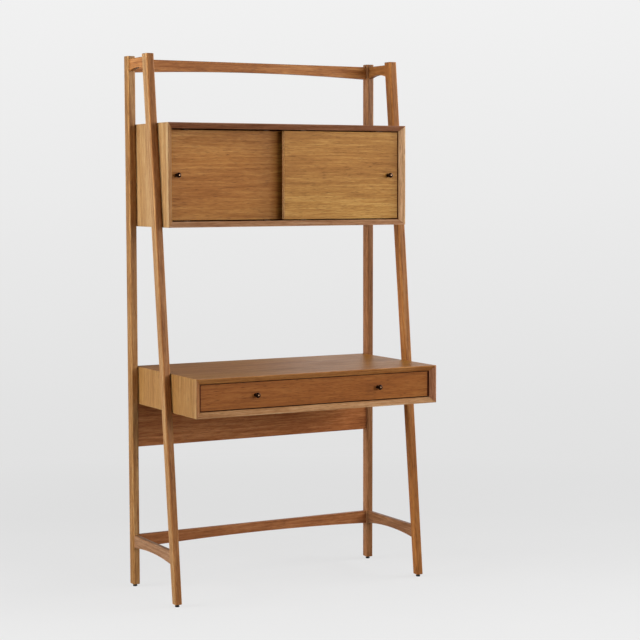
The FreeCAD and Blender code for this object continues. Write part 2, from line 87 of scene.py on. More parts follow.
class Nodes:
    """A node tree while it is laid out. add() makes one node and joins or sets its inputs."""

    def __init__(self, tree):
        self.tree = tree

    def put(self, node, inputs):
        """Joins each input to a socket, or sets it to a value."""
        for key, value in inputs.items():
            if isinstance(value, bpy.types.NodeSocket):
                self.tree.links.new(value, node.inputs[key])
            else:
                node.inputs[key].default_value = value

    def add(self, kind, inputs, **settings):
        node = self.tree.nodes.new(kind)
        for key, value in settings.items():
            setattr(node, key, value)
        self.put(node, inputs)
        return node

    def reckon(self, operation, *values):
        """A sum on numbers."""
        return self.add("ShaderNodeMath", dict(enumerate(values)), operation=operation).outputs[0]

    def vectors(self, operation, *values, result="Vector"):
        """A sum on vectors, whose result is a Vector or a Value."""
        return self.add("ShaderNodeVectorMath", dict(enumerate(values)), operation=operation).outputs[result]

    def part(self, vector, axis):
        """A vector's X, Y or Z."""
        return self.add("ShaderNodeSeparateXYZ", {0: vector}).outputs[axis]

    def place(self, turn=(0, 0, 0), shift=(0, 0, 0)):
        """Object coordinates in metres, turned and then shifted."""
        seat = self.add("ShaderNodeTexCoord", {}).outputs["Object"]
        turned = [math.radians(angle) for angle in turn]
        inputs = {"Vector": seat, "Rotation": turned, "Location": shift}
        return self.add("ShaderNodeMapping", inputs).outputs[0]

    def stretched(self, vector, along, across):
        """Coordinates scaled by one number along the grain and by another across it."""
        return self.vectors("MULTIPLY", vector, (along, across, across))

    def noise(self, vector, detail=2.0, roughness=0.5, distortion=0.0, scale=1.0):
        inputs = {"Vector": vector, "Scale": scale, "Detail": detail, "Roughness": roughness,
                  "Distortion": distortion}
        return self.add("ShaderNodeTexNoise", inputs).outputs[0]

    def times(self, value, factor, plus=0.0):
        """value times factor, plus a third."""
        return self.reckon("MULTIPLY_ADD", value, factor, plus)

    def span(self, value, low, high, to_low, to_high):
        """value taken from the range low..high to to_low..to_high and held there."""
        inputs = {"Value": value, "From Min": low, "From Max": high, "To Min": to_low, "To Max": to_high}
        return self.add("ShaderNodeMapRange", inputs).outputs[0]

    def rise(self, value, low, high):
        """0 up to low, 1 from high on."""
        return self.span(value, low, high, 0.0, 1.0)

    def fall(self, value, low, high):
        """1 up to low, 0 from high on."""
        return self.span(value, low, high, 1.0, 0.0)

    def ramp(self, value, stops):
        """Colours along a value: stops are (place, colour)."""
        node = self.add("ShaderNodeValToRGB", {0: value})
        elements = node.color_ramp.elements
        while len(elements) < len(stops):
            elements.new(0.5)
        for element, (place, colour) in zip(elements, stops):
            element.position = place
            element.color = colour
        return node.outputs[0]

    def mixed(self, share, first, second, way="MIX"):
        """Two colours mixed by a share."""
        inputs = {0: share, 6: first, 7: second}
        return self.add("ShaderNodeMix", inputs, data_type="RGBA", blend_type=way).outputs[2]

    def stained(self, share, colour, stain):
        """A colour, and by a share the same colour times a stain."""
        return self.mixed(share, colour, self.mixed(1.0, colour, stain, "MULTIPLY"))

    def eased(self, radius):
        """(normal eased over sharp edges, how far it leans from the flat face), as on sanded wood."""
        normal = self.add("ShaderNodeBevel", {"Radius": radius}, samples=4).outputs[0]
        flat = self.add("ShaderNodeNewGeometry", {}).outputs["Normal"]
        return normal, self.fall(self.vectors("DOT_PRODUCT", normal, flat, result="Value"), 0.75, 0.995)

    def bumped(self, height, distance, strength, normal=None):
        """A normal that leans with a height. It starts from another normal where one is given."""
        inputs = {"Height": height, "Distance": distance, "Strength": strength}
        if normal is not None:
            inputs["Normal"] = normal
        return self.add("ShaderNodeBump", inputs).outputs[0]


class Finish(Nodes):
    """A new material with its main shader."""

    def __init__(self, name):
        self.material = bpy.data.materials.new(name)
        self.material.use_nodes = True
        super().__init__(self.material.node_tree)
        self.shader = self.tree.nodes["Principled BSDF"]

    def surface(self, **inputs):
        """Sets the main shader's inputs, written with _ for a space."""
        self.put(self.shader, {key.replace("_", " "): value for key, value in inputs.items()})


# Wood under a warm stain: the tones of its pores, late wood, body and early wood, and a redder blush.
STAIN_PORE = tone(70, 38, 18)
STAIN_DEEP = tone(112, 66, 33)
STAIN_BODY = tone(158, 107, 60)
STAIN_PALE = tone(192, 145, 94)
STAIN_BLUSH = (1.0, 0.86, 0.74, 1.0)
# Repeats per metre of each layer of the figure, along the grain and across it.
BANDS = (1.3, 9.0)
STREAKS = (6.0, 150.0)
FIBRES = (30.0, 360.0)
BLUSHES = (0.8, 5.0)
PORES = (40.0, 900.0)
# Steps in the pattern from one plank to the next, and the reach of the tones to both sides of the body's.
PLANK_STEPS = (1.71, 0.53, 0.37)
BOX_PLANK_STEPS = (1.31, 0.47, 0.59)
FIGURE_REACH = 0.16
# How far the lacquer's dullness varies, and the radii of the edges of sanded wood and of metal in metres.
SATIN_SPREAD = 0.06
EDGE_RADIUS = 0.0009
METAL_EDGE_RADIUS = 0.0003


def plank_place(wood, grain, plank, steps):
    """Coordinates along a board's grain, from a place in the pattern that no other plank has."""
    return wood.place(GRAIN_TURN[grain], [step * plank for step in steps])


def stained_wood(name, grain, plank, tint, figure, rough, shades):
    """Straight-grained satin wood. Noises drawn out along the grain make broad bands, streaks, fibres and
    pores. figure is how strongly they show and rough how dull the lacquer is. shades are (mask, stain) pairs
    for faces that differ from the rest of the board, many of them painted light and shade."""
    wood = Finish(name)
    place = plank_place(wood, grain, plank, PLANK_STEPS)
    bands = wood.noise(wood.stretched(place, *BANDS), detail=2.0, distortion=0.4)
    streaks = wood.noise(wood.stretched(place, *STREAKS), detail=2.0, roughness=0.6, distortion=0.2)
    fibres = wood.noise(wood.stretched(place, *FIBRES), detail=2.0, roughness=0.6)
    rings = wood.times(bands, 0.24, wood.times(streaks, 0.46, wood.times(fibres, 0.30)))
    reach = FIGURE_REACH / figure
    body = wood.ramp(rings, [(0.5 - reach, tinted(STAIN_DEEP, tint)), (0.5, tinted(STAIN_BODY, tint)),
                             (0.5 + reach, tinted(STAIN_PALE, tint))])
    blush = wood.span(wood.noise(wood.stretched(place, *BLUSHES), detail=1.0), 0.35, 0.7, 0.0, 0.5)
    colour = wood.stained(blush, body, STAIN_BLUSH)
    # Each shade multiplies the colour where its mask lies: painted shade, light and highlights, and real
    # lipping and grain tones.
    for mask, stain in shades:
        colour = wood.stained(mask(wood), colour, (*stain, 1.0))
    pores = wood.span(wood.noise(wood.stretched(place, *PORES), detail=1.0), 0.60, 0.70, 0.0, 0.6)
    pored = wood.mixed(pores, colour, tinted(STAIN_PORE, tint))
    normal, wear = wood.eased(EDGE_RADIUS)
    worn = wood.mixed(wood.times(wear, 0.30), pored, tinted(STAIN_PALE, tint))
    satin = wood.span(streaks, 0.3, 0.7, rough + SATIN_SPREAD, rough - SATIN_SPREAD)
    relief = wood.times(pores, -1.0, wood.times(fibres, 0.5))
    wood.surface(Base_Color=worn, Roughness=satin, Specular_IOR_Level=0.12,
                 Normal=wood.bumped(relief, distance=0.0002, strength=0.35, normal=normal))
    return wood.material


# Ranges of a face's squareness to a direction, over which a mask rises to 1.
SLANTED = (0.2, 0.4)
SQUARE = (0.5, 0.9)
FLAT_ON = (0.9, 0.98)
# Heights in metres between which the painted highlight on the legs' corners goes from faint to full, and its
# faintest share.
CORNER_HIGHLIGHT_HEIGHTS = (0.7, 1.4)
CORNER_HIGHLIGHT_LEAST = 0.1
# The depth of the solid lipping in front of a case board, and the width of the joint behind it, in metres.
LIPPING_DEPTH = 0.016
LIPPING_JOINT = 0.0003


def facing(wood, direction):
    """How squarely a face looks along a direction, from -1 to 1."""
    flat = wood.add("ShaderNodeNewGeometry", {}).outputs["True Normal"]
    return wood.vectors("DOT_PRODUCT", flat, direction, result="Value")


def edges_across(direction):
    """A mask: 1 on the two faces of a board that look along a direction or against it."""
    return lambda wood: wood.rise(wood.reckon("ABSOLUTE", facing(wood, direction)), *SQUARE)


def highlighted_corners(wood):
    """A mask for the painted highlight on the rounded upright corners of a leg, whose faces look both
    sideways and to the front or back. It rises from near the floor to 1 higher up, where the highlight is
    full."""
    slant = wood.reckon("ABSOLUTE", wood.times(facing(wood, RIGHT), facing(wood, BACK)))
    height = wood.part(wood.place(), "Z")
    return wood.times(wood.rise(slant, *SLANTED), wood.span(height, *CORNER_HIGHLIGHT_HEIGHTS, CORNER_HIGHLIGHT_LEAST, 1.0))


def front_edge(start):
    """A mask: 1 on the lipping of a case board, in front of the depth start."""
    return lambda wood: wood.fall(wood.part(wood.place(), "Y"), start - LIPPING_JOINT, start)


def bevel_face(start):
    """A mask: 1 on the part of a lipping that looks to the front."""
    return lambda wood: wood.times(front_edge(start)(wood), wood.rise(facing(wood, FRONT), *SLANTED))


def end_margins(node, reach):
    """A mask: 1 within a reach of the left and right ends of a front, for a painted shadow line."""
    low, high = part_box(node)
    middle, half = (low.x + high.x) / 2, (high.x - low.x) / 2

    def mask(wood):
        off_middle = wood.reckon("ABSOLUTE", wood.part(wood.place(shift=(-middle, 0, 0)), "X"))
        return wood.rise(off_middle, half - 1.2 * reach, half - reach)
    return mask


def opening_edge(inward, start, reach):
    """A mask: 1 on a case board's inner face beside the doors or drawer front, up to reach behind start, for
    painted shade.
    """
    def mask(wood):
        near = wood.fall(wood.part(wood.place(), "Y"), start + reach, start + 1.5 * reach)
        return wood.times(near, wood.rise(facing(wood, inward), *FLAT_ON))
    return mask


def box_wood(name, grain, plank):
    """Pale unstained drawer-box wood under clear lacquer."""
    wood = Finish(name)
    place = plank_place(wood, grain, plank, BOX_PLANK_STEPS)
    bands = wood.noise(wood.stretched(place, along=1.2, across=12.0), detail=2.0, distortion=0.4)
    fibres = wood.noise(wood.stretched(place, along=4.0, across=190.0), detail=3.0, roughness=0.6)
    figure = wood.times(bands, 0.5, wood.times(fibres, 0.5))
    body = wood.ramp(figure, [(0.35, tone(176, 138, 92)), (0.5, tone(203, 170, 124)),
                              (0.66, tone(219, 191, 149))])
    normal, wear = wood.eased(EDGE_RADIUS)
    worn = wood.mixed(wood.times(wear, 0.35), body, tone(228, 205, 168))
    wood.surface(Base_Color=worn, Roughness=wood.span(fibres, 0.3, 0.7, 0.58, 0.46),
                 Normal=wood.bumped(fibres, distance=0.0002, strength=0.4, normal=normal))
    return wood.material


# The bright tip of a knob, partly worn by fingers and partly a painted highlight: its radius and tone.
KNOB_TIP = 0.0026
KNOB_RUBBED_AND_HIGHLIGHT = tone(200, 154, 116)


def dark_bronze(name, axis):
    """Bronze under a near black patina, bright at the knob's tip, partly worn by fingers and partly a
    painted highlight. axis is a point on its axis.
    """
    bronze = Finish(name)
    place = bronze.place(shift=(-axis.x, -axis.y, -axis.z))
    patches = bronze.noise(place, detail=4.0, roughness=0.6, scale=180.0)
    haze = bronze.noise(place, detail=3.0, scale=1400.0)
    body = bronze.ramp(patches, [(0.35, tone(34, 19, 11)), (0.55, tone(48, 28, 17)),
                                 (0.75, tone(74, 44, 27))])
    radius = bronze.vectors("LENGTH", bronze.vectors("MULTIPLY", place, (1, 0, 1)), result="Value")
    # The bright tip: partly worn metal and partly a painted highlight.
    worn_tip_and_highlight = bronze.fall(bronze.times(patches, 0.0005, radius), 0.6 * KNOB_TIP, KNOB_TIP)
    bronze.surface(Base_Color=bronze.mixed(worn_tip_and_highlight, body, KNOB_RUBBED_AND_HIGHLIGHT),
                   Metallic=bronze.span(worn_tip_and_highlight, 0.0, 1.0, 0.8, 0.9),
                   Roughness=bronze.span(haze, 0.3, 0.7, 0.28, 0.38), Specular_IOR_Level=0.2,
                   Normal=bronze.bumped(haze, distance=0.00004, strength=0.4))
    return bronze.material


def zinc_steel(name):
    """Zinc-plated steel, drawn along the runners, with faint clouds in the plating."""
    steel = Finish(name)
    place = steel.place(GRAIN_TURN["front_to_back"])
    drawn = steel.noise(steel.stretched(place, along=6.0, across=900.0), detail=3.0, roughness=0.6)
    clouds = steel.noise(place, detail=3.0, scale=60.0)
    body = steel.ramp(steel.times(drawn, 0.5, steel.times(clouds, 0.5)),
                      [(0.35, tone(150, 152, 153)), (0.5, tone(186, 188, 188)), (0.66, tone(208, 208, 204))])
    normal, wear = steel.eased(METAL_EDGE_RADIUS)
    steel.surface(Base_Color=steel.mixed(steel.times(wear, 0.5), body, tone(226, 226, 224)), Metallic=1.0,
                  Roughness=steel.span(drawn, 0.3, 0.7, 0.28, 0.42),
                  Normal=steel.bumped(drawn, distance=0.00008, strength=0.5, normal=normal))
    return steel.material


def bronze_anodised(name):
    """Dark bronze anodised door track, drawn along its length."""
    track = Finish(name)
    drawn = track.noise(track.stretched(track.place(), along=4.0, across=1100.0), detail=3.0, roughness=0.6)
    body = track.ramp(drawn, [(0.35, tone(46, 36, 28)), (0.65, tone(74, 58, 44))])
    normal, wear = track.eased(METAL_EDGE_RADIUS)
    track.surface(Base_Color=track.mixed(track.times(wear, 0.5), body, tone(120, 98, 76)), Metallic=0.8,
                  Roughness=track.span(drawn, 0.3, 0.7, 0.36, 0.5),
                  Normal=track.bumped(drawn, distance=0.00006, strength=0.5, normal=normal))
    return track.material


def black_plastic(name):
    """Black moulded foot plastic with a fine spark texture, greyed by scuffs."""
    plastic = Finish(name)
    place = plastic.place()
    spark = plastic.noise(place, detail=2.0, scale=2600.0)
    scuffs = plastic.noise(place, detail=4.0, roughness=0.7, scale=240.0)
    body = plastic.ramp(scuffs, [(0.4, tone(22, 21, 20)), (0.6, tone(32, 31, 29)), (0.75, tone(58, 56, 53))])
    plastic.surface(Base_Color=body, Roughness=plastic.span(scuffs, 0.35, 0.7, 0.42, 0.62),
                    Normal=plastic.bumped(spark, distance=0.0001, strength=0.6))
    return plastic.material


def nylon(name):
    """Brown nylon of the door glides."""
    plastic = Finish(name)
    clouds = plastic.noise(plastic.place(), detail=3.0, scale=320.0)
    body = plastic.ramp(clouds, [(0.35, tone(78, 58, 42)), (0.6, tone(96, 73, 54))])
    plastic.surface(Base_Color=body, Roughness=plastic.span(clouds, 0.3, 0.7, 0.44, 0.56),
                    Specular_IOR_Level=0.15,
                    Normal=plastic.bumped(clouds, distance=0.00005, strength=0.4))
    return plastic.material


# Each stained board: its grain, how this plank leans from the stain's red, green and blue, the strength of
# its figure and the dullness of its lacquer.
STAINED_BOARDS = {
    "rear_leg_left": ("upright", (1.05, 1.22, 1.38), 0.8, 0.4),
    "rear_leg_right": ("upright", (0.67, 0.65, 0.77), 0.8, 0.4),
    "front_leg_left": ("leaning", (0.9, 0.85, 0.84), 0.8, 0.4),
    "front_leg_right": ("leaning", (0.85, 0.75, 0.61), 0.8, 0.4),
    "top_side_rail_left": ("front_to_back", (0.9, 0.87, 0.81), 0.8, 0.4),
    "top_side_rail_right": ("front_to_back", (0.9, 0.87, 0.81), 0.8, 0.4),
    "bottom_side_rail_left": ("front_to_back", (0.64, 0.74, 1.13), 0.8, 0.4),
    "bottom_side_rail_right": ("front_to_back", (0.68, 0.74, 1.07), 0.8, 0.4),
    "top_back_rail": ("across", (1.08, 0.92, 0.73), 0.8, 0.4),
    "bottom_back_rail": ("across", (0.93, 0.8, 0.88), 0.8, 0.4),
    "modesty_panel": ("across", (1.13, 0.9, 0.83), 0.9, 0.4),
    "cabinet_top": ("across", (1, 0.97, 0.92), 0.8, 0.52),
    "cabinet_bottom": ("across", (1, 0.97, 0.92), 0.8, 0.4),
    "cabinet_side_left": ("upright", (0.91, 1.18, 1.5), 0.7, 0.4),
    "cabinet_side_right": ("upright", (1, 1.05, 1), 0.7, 0.4),
    "cabinet_back": ("across", (1, 1, 1), 0.8, 0.4),
    "desk_top": ("across", (0.99, 0.95, 0.58), 0.8, 0.42),
    "desk_bottom": ("across", (1, 0.97, 0.92), 0.8, 0.4),
    "desk_side_left": ("upright", (0.71, 0.85, 0.86), 0.7, 0.4),
    "desk_side_right": ("upright", (0.95, 0.97, 0.9), 0.7, 0.4),
    "desk_back": ("across", (1, 1, 1), 0.8, 0.4),
    "door_left": ("across", (1.1, 1.01, 0.6), 0.7, 0.4),
    "door_right": ("across", (1.13, 1.22, 0.83), 0.7, 0.4),
    "drawer_front": ("across", (0.83, 0.63, 0.42), 0.6, 0.4),
}
# The solid lipping at the front of each case board, leaning from that board's own tone: partly the solid
# wood's own tone and partly painted light and shade, such as a painted highlight on the cabinet's right
# bevel and painted shade on its top one.
LIPPINGS_AND_PAINTED_LIGHT = {
    "cabinet_top": (0.72, 0.71, 1.13),
    "cabinet_bottom": (1.07, 1.33, 2.27),
    "cabinet_side_left": (1.1, 1.2, 1.4),
    "cabinet_side_right": (1.78, 2.4, 4.28),
    "desk_top": (1.1, 1.1, 1.6),
    "desk_bottom": (1.16, 1.43, 2.09),
    "desk_side_left": (1.2, 1.3, 1.6),
    "desk_side_right": (1.2, 1.23, 2.2),
}
# Painted shade on bevels that face away from the light, darker than the rest of their lipping.
BEVEL_PAINTED_SHADE = {"cabinet_side_left": (0.82, 0.63, 0.46), "desk_side_left": (0.94, 0.72, 0.67)}
# The side faces of the legs, partly cut across another part of the plank's figure and partly painted light,
# shade and sheen, and the painted highlight on their rounded corners.
SIDE_GRAIN_AND_PAINTED_LIGHT = {
    "rear_leg_left": (0.64, 0.64, 0.58),
    "rear_leg_right": (1.1, 1.14, 1.24),
    "front_leg_left": (0.92, 1.2, 1.52),
    "front_leg_right": (1.05, 1.05, 1.05),
}
CORNER_PAINTED_HIGHLIGHT = (1.5, 1.56, 1.62)
# Painted shade on the edges and faces beside the gaps round the doors and the drawer front, painted light
# that makes the ends of the doors pale, and the width in metres of the painted shadow line at the drawer
# front's ends.
GAP_PAINTED_SHADE = (0.3, 0.17, 0.11)
DOOR_END_PAINTED_LIGHT = (1.9, 2.4, 4.8)
DRAWER_SHADOW_MARGIN = 0.003
# Which way each case board's inner face looks, and how far behind the lipping its painted shade reaches.
INWARD = {"top": DOWN, "bottom": UP, "side_left": RIGHT, "side_right": LEFT}
GAP_SHADE_REACH = {"cabinet": 0.065, "desk": 0.024}
DOORS = ["door_left", "door_right"]
KNOBS = ["door_left_knob", "door_right_knob", "drawer_knob_left", "drawer_knob_right"]
BOX_BOARDS = {
    "drawer_side_left": "front_to_back",
    "drawer_side_right": "front_to_back",
    "drawer_back": "across",
    "drawer_bottom": "across",
    "frame_dowels": "across",
}
RUNNERS = ["runner_outer_left", "runner_outer_right", "runner_middle_left", "runner_middle_right",
           "runner_inner_left", "runner_inner_right"]
INSERTS = ["leg_inserts", "leveller_inserts"]
GLIDES = ["door_left_glides", "door_right_glides"]
TRACKS = ["upper_front_track", "upper_rear_track", "lower_front_track", "lower_rear_track"]


def dress(node, material):
    """Gives a CAD node its finish in every slot."""
    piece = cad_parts[node]
    if not piece.material_slots:
        piece.data.materials.append(material)
    for place in piece.material_slots:
        place.material = material


def shades_of(node):
    """The faces of a stained board that differ from the rest: painted shade beside a gap, painted light on
    the door ends, lippings and leg sides partly real tone and partly painted light and shade, and painted
    highlights on leg corners.
    """
    if node == "drawer_front":
        # Painted shade on the drawer front's top and bottom edges, and a painted shadow line at its ends.
        return [(edges_across(UP), GAP_PAINTED_SHADE), (end_margins(node, DRAWER_SHADOW_MARGIN), GAP_PAINTED_SHADE)]
    if node in DOORS:
        # Painted shade on the doors' top and bottom edges, and painted light that makes their ends pale.
        return [(edges_across(UP), GAP_PAINTED_SHADE), (edges_across(RIGHT), DOOR_END_PAINTED_LIGHT)]
    if node in SIDE_GRAIN_AND_PAINTED_LIGHT:
        # Side faces: partly real grain tone and partly painted light, shade and sheen. Corners: a painted
        # highlight.
        return [(edges_across(RIGHT), SIDE_GRAIN_AND_PAINTED_LIGHT[node]), (highlighted_corners, CORNER_PAINTED_HIGHLIGHT)]
    if node in LIPPINGS_AND_PAINTED_LIGHT:
        return case_shades(node)
    return []


def case_shades(node):
    """The lipping of a case board, partly real tone and partly painted light and shade, painted shade beside
    the gap, and painted shade on its bevel where that is darker.
    """
    case, board = node.split("_", 1)
    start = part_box(node)[0].y + LIPPING_DEPTH
    gap_shade = opening_edge(INWARD[board], start, GAP_SHADE_REACH[case])
    # The lipping is partly real tone and partly painted light and shade; beside the gap lies painted shade.
    shades = [(front_edge(start), LIPPINGS_AND_PAINTED_LIGHT[node]), (gap_shade, GAP_PAINTED_SHADE)]
    if node in BEVEL_PAINTED_SHADE:
        # Painted shade on the bevel.
        shades.append((bevel_face(start), BEVEL_PAINTED_SHADE[node]))
    return shades


def dress_all():
    for plank, (node, (grain, tint, figure, rough)) in enumerate(STAINED_BOARDS.items(), start=1):
        dress(node, stained_wood("stained_" + node, grain, plank, tint, figure, rough, shades_of(node)))
    for plank, (node, grain) in enumerate(BOX_BOARDS.items(), start=1):
        dress(node, box_wood("box_" + node, grain, plank))
    for node in KNOBS:
        low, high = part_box(node)
        dress(node, dark_bronze("bronze_" + node, (low + high) / 2))
    for nodes, material in ((RUNNERS + INSERTS, zinc_steel("zinc_steel")), (GLIDES, nylon("nylon")),
                            (TRACKS, bronze_anodised("bronze_anodised"))):
        for node in nodes:
            dress(node, material)


# Small threaded fittings, in metres and with the sizes of their plain solids. A key is the outline of the
# recess that a driver fits: its radius at each angle, as a share of the largest.
POINTS_ROUND = 24
THREAD_STEPS = 4
ROUND = np.linspace(0, 2 * np.pi, POINTS_ROUND, endpoint=False)
HEX_KEY = math.cos(math.pi / 6) / np.cos(np.mod(ROUND, math.pi / 3) - math.pi / 6)
CROSS_KEY = 0.4 + 0.6 * np.cos(2 * ROUND) ** 6
BOLT = {"head_radius": 0.0065, "head_height": 0.0035, "radius": 0.003, "length": 0.032,
        "key": HEX_KEY, "key_radius": 0.0024, "key_depth": 0.0022}
KNOB_SCREW = {"head_radius": 0.0042, "head_height": 0.0026, "radius": 0.002,
              "key": CROSS_KEY, "key_radius": 0.0022, "key_depth": 0.0014}
FOOT_PAD = {"radius": 0.0075, "height": 0.008, "shoulder": 0.004, "rim": 0.0055}
STUD_RADIUS = 0.003
STUD_IN_PAD = 0.006
# Shares of the radius: the tip of a screw, and the thread's distances from the neck and the tip.
TIP_SHARE = 0.7
THREAD_START = 0.1
THREAD_END = 0.3
# Where a rounded edge stands halfway round, as a share of its size.
HALF_ROUND = 0.3
# Places of the case bolts: their heights, the inner faces of the case sides and the middles of the legs.
BOLT_HEIGHTS = (0.669, 0.738, 1.311, 1.538)
BOLT_FACE = 0.438
REAR_LEG_MIDDLE = 0.2365
FRONT_LEG_FOOT, FRONT_LEG_TOP, LEG_HEIGHT = -0.118, 0.082, 1.829
LEVELLERS = ["leveller_front_left", "leveller_front_right", "leveller_rear_left", "leveller_rear_right"]


def rings_of(stations, outline=1.0):
    """Rings from (place along the axis, radius): at each angle the radius is taken times the outline."""
    along, radius = np.array(stations).T[..., None]
    return np.repeat(along, POINTS_ROUND, axis=1), radius * np.broadcast_to(outline, POINTS_ROUND)


def thread(start, end, radius):
    """Rings of a screw thread of pitch radius / 3: at angle a and place s the radius falls by a groove's
    depth times the triangle wave of s / pitch - a / (2 pi), which winds the groove into a helix."""
    pitch, groove = radius / 3, radius / 6
    places = np.linspace(start, end, round((end - start) / pitch * THREAD_STEPS) + 1)
    along = np.repeat(places[:, None], POINTS_ROUND, axis=1)
    phase = np.mod(along / pitch - ROUND / (2 * np.pi), 1.0)
    return along, radius - groove * np.abs(2 * phase - 1)


def joined(*runs):
    """Several runs of rings, one after the other."""
    return tuple(np.concatenate(parts) for parts in zip(*runs))


def threaded_end(start, end, radius):
    """A thread from a plain start, and a tip that draws in at the end."""
    return joined(thread(start + THREAD_START * radius, end - THREAD_END * radius, radius),
                  rings_of([(end, TIP_SHARE * radius)]))


def driven_screw(head_radius, head_height, radius, length, key, key_radius, key_depth):
    """A screw from its driven end: recess, eased head, bearing face, plain neck, thread and tip."""
    ease, neck = 0.08 * head_radius, head_height + 0.15 * length
    recess = rings_of([(key_depth, 0.4 * key_radius), (key_depth, key_radius), (0.0, key_radius)], key)
    head = rings_of([(0.0, head_radius - ease), (HALF_ROUND * ease, head_radius - HALF_ROUND * ease),
                     (ease, head_radius), (head_height, head_radius), (head_height, radius), (neck, radius)])
    return joined(recess, head, threaded_end(neck, length, radius))


def foot_pad(radius, height, shoulder, rim):
    """A round pad from the floor up: eased edge, upright wall to the shoulder, and a slope to the rim."""
    ease = 0.12 * radius
    return rings_of([(0.0, 0.5 * radius), (0.0, radius - ease),
                     (HALF_ROUND * ease, radius - HALF_ROUND * ease), (ease, radius),
                     (shoulder - HALF_ROUND * ease, radius), (shoulder, radius - 0.2 * ease),
                     (height - 0.5 * ease, rim + 0.2 * ease), (height, rim - 0.4 * ease),
                     (height, 0.5 * rim)])


def stud(start, end, radius):
    """A threaded stud from inside its pad up to a tapered end."""
    return joined(rings_of([(start, radius)]), threaded_end(start, end, radius))


def skin(rings, origin, axis):
    """Points and faces of a closed turned skin: a point is origin + along * axis + radius * (cos a * side +
    sin a * over), neighbouring rings are joined by quads, and the first and last ring are closed flat."""
    along, radius = rings
    axis = np.array(axis, float)
    side = np.cross(axis, UP if abs(axis[2]) < 0.5 else RIGHT)
    over = np.cross(axis, side)
    spread = np.cos(ROUND)[:, None] * side + np.sin(ROUND)[:, None] * over
    points = np.array(origin) + along[..., None] * axis + radius[..., None] * spread
    here = np.arange(along.size).reshape(along.shape)
    after = np.roll(here, -1, axis=1)
    quads = np.stack([here[:-1], after[:-1], after[1:], here[1:]], axis=-1).reshape(-1, 4)
    return points.reshape(-1, 3), quads.tolist() + [here[0][::-1].tolist(), here[-1].tolist()]


def fitting(name, skins, material, body, node):
    """One piece of closed skins, riding on a body in place of a plain CAD node."""
    starts = np.cumsum([0] + [len(points) for points, _ in skins])
    faces = [[start + corner for corner in face] for start, (_, own) in zip(starts, skins) for face in own]
    mesh = bpy.data.meshes.new(name)
    mesh.from_pydata(np.concatenate([points for points, _ in skins]).tolist(), [], faces)
    mesh.materials.append(material)
    piece = bpy.data.objects.new(name, mesh)
    bpy.context.scene.collection.objects.link(piece)
    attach(piece, body)
    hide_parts(node)


def case_bolts(steel):
    """Bolts with hexagon sockets through the case sides into the legs."""
    rings = driven_screw(**BOLT)
    skins = []
    for height in BOLT_HEIGHTS:
        front_leg = FRONT_LEG_FOOT + (FRONT_LEG_TOP - FRONT_LEG_FOOT) * height / LEG_HEIGHT
        for depth in (REAR_LEG_MIDDLE, front_leg):
            for side in (-1, 1):
                skins.append(skin(rings, (side * BOLT_FACE, depth, height), (side, 0, 0)))
    fitting("case_bolts_threaded", skins, steel, "frame", "case_bolts")


def knob_screws(steel):
    """Cross-recessed screws from the back of each front into its knobs."""
    for body, node, knobs in (("door_left", "door_left_knob_screw", ["door_left_knob"]),
                              ("door_right", "door_right_knob_screw", ["door_right_knob"]),
                              ("drawer", "drawer_knob_screws", ["drawer_knob_left", "drawer_knob_right"])):
        low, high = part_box(node)
        rings = driven_screw(length=high.y - low.y, **KNOB_SCREW)
        skins = []
        for knob in knobs:
            middle = (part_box(knob)[0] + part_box(knob)[1]) / 2
            skins.append(skin(rings, (middle.x, high.y, middle.z), FRONT))
        fitting(node + "_threaded", skins, steel, body, node)


def levelling_feet(steel, plastic):
    """Black pads on threaded steel studs."""
    for node in LEVELLERS:
        low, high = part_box(node)
        floor = ((low.x + high.x) / 2, (low.y + high.y) / 2, low.z)
        pad = skin(foot_pad(**FOOT_PAD), floor, UP)
        fitting(node + "_pad", [pad], plastic, node, node)
        screw = skin(stud(STUD_IN_PAD, high.z - low.z, STUD_RADIUS), floor, UP)
        fitting(node + "_stud", [screw], steel, node, node)


def fit_screws():
    steel = zinc_steel("screw_steel")
    case_bolts(steel)
    knob_screws(steel)
    levelling_feet(steel, black_plastic("black_plastic"))


# Studio: a wide pale floor, a pale backdrop that lightens upwards, a dimmer room in front, and soft lamps.
# The floor's tones are (metres ahead of the camera, grey level), and the backdrop's (z of a ray's direction,
# grey level).
FLOOR_REACH = 400.0
FLOOR_TONES = [(5.0, 239), (5.5, 236), (5.95, 233), (6.6, 228), (7.4, 225), (8.4, 225), (11.5, 227),
               (18.0, 230), (45.0, 233), (400.0, 235)]
BACKDROP_TONES = [(0.0, 235), (0.104, 241), (1.0, 246)]
FLOOR_BOUNCE = grey(170)
# The share of plain paint in the floor, which takes the shadow, and the distances over which it fades out.
FLOOR_SHADE_SHARE = 0.16
FLOOR_SHADE_REACH = (0.6, 3.0)
# Shares of the backdrop that lacquer mirrors, and where the room in front passes into the backdrop: the
# floor's y in metres, and the y of a ray's direction.
ROOM_IN_FRONT = 0.03
ROOM_BEHIND = 0.34
FLOOR_PASSAGE = (-3.5, -0.5)
RAY_PASSAGE = (-0.3, 0.3)
AMBIENT = 0.04
LAMP_AIM = (0, 0, 1.1)


def glossy_share(nodes, behind):
    """How much of the backdrop a ray sees: all of it from the camera, and from a glossy surface a share of
    it behind the object and little in the room in front. behind runs from 0 in front to 1 behind."""
    glossy = nodes.add("ShaderNodeLightPath", {}).outputs["Is Glossy Ray"]
    return nodes.times(glossy, nodes.span(behind, 0.0, 1.0, ROOM_IN_FRONT - 1, ROOM_BEHIND - 1), 1.0)


def seen_directly(nodes):
    """1 for rays from the camera, a glossy surface or glass, which are shown the pale backdrop."""
    path = nodes.add("ShaderNodeLightPath", {}).outputs
    first = nodes.reckon("MAXIMUM", path["Is Camera Ray"], path["Is Glossy Ray"])
    return nodes.reckon("MAXIMUM", first, path["Is Transmission Ray"])


